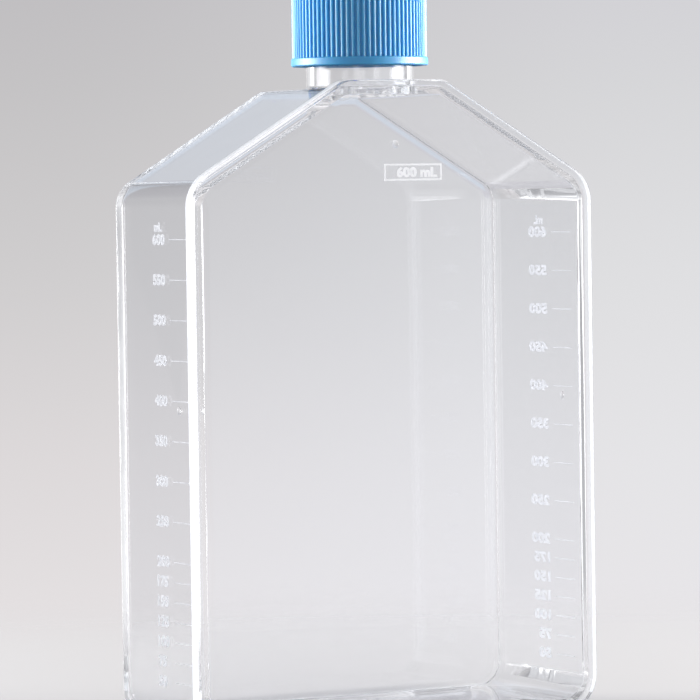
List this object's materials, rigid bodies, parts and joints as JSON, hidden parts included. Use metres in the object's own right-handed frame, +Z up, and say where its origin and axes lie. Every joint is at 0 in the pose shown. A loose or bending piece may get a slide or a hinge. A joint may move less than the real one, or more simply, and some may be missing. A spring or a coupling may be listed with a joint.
{
  "type": "cell culture flask",
  "caption": "Clear upright cell culture flask with sloping shoulders, a welded flat front plate, a screw neck and a blue vented screw cap.",
  "frame": {"origin": "middle of the base that the flask stands on, centred in width and depth", "axes": "+Z up through the neck, +X across the width, -Y out of the welded front plate"},
  "size_m": [0.1222, 0.047, 0.1953],
  "materials": {
    "clear_polystyrene": "clear, polished mould finish",
    "blue_cap_plastic": "satin moulded blue",
    "milky_seal": "soft milky moulding",
    "white_membrane": "dull white membrane"
  },
  "bodies": {
    "flask": {"flask_body": "clear_polystyrene", "front_plate": "clear_polystyrene"},
    "seal": {"seal_ring": "milky_seal", "vent_membrane": "white_membrane"},
    "cap": {"cap_shell": "blue_cap_plastic"}
  },
  "joints": [
    {"name": "cap_rise", "type": "slide", "parent": "flask", "child": "seal", "axis": [0, 0, 1], "range_m": [0, 0.0202]},
    {"name": "cap_turn", "type": "hinge", "parent": "seal", "child": "cap", "pos_m": [0, -0.0052, 0.18], "axis": [0, 0, 1], "range_deg": [0, 1800]}
  ],
  "couplings": [
    {"joint": "cap_rise", "follows": "cap_turn", "m_per_rad": 0.00063662}
  ]
}
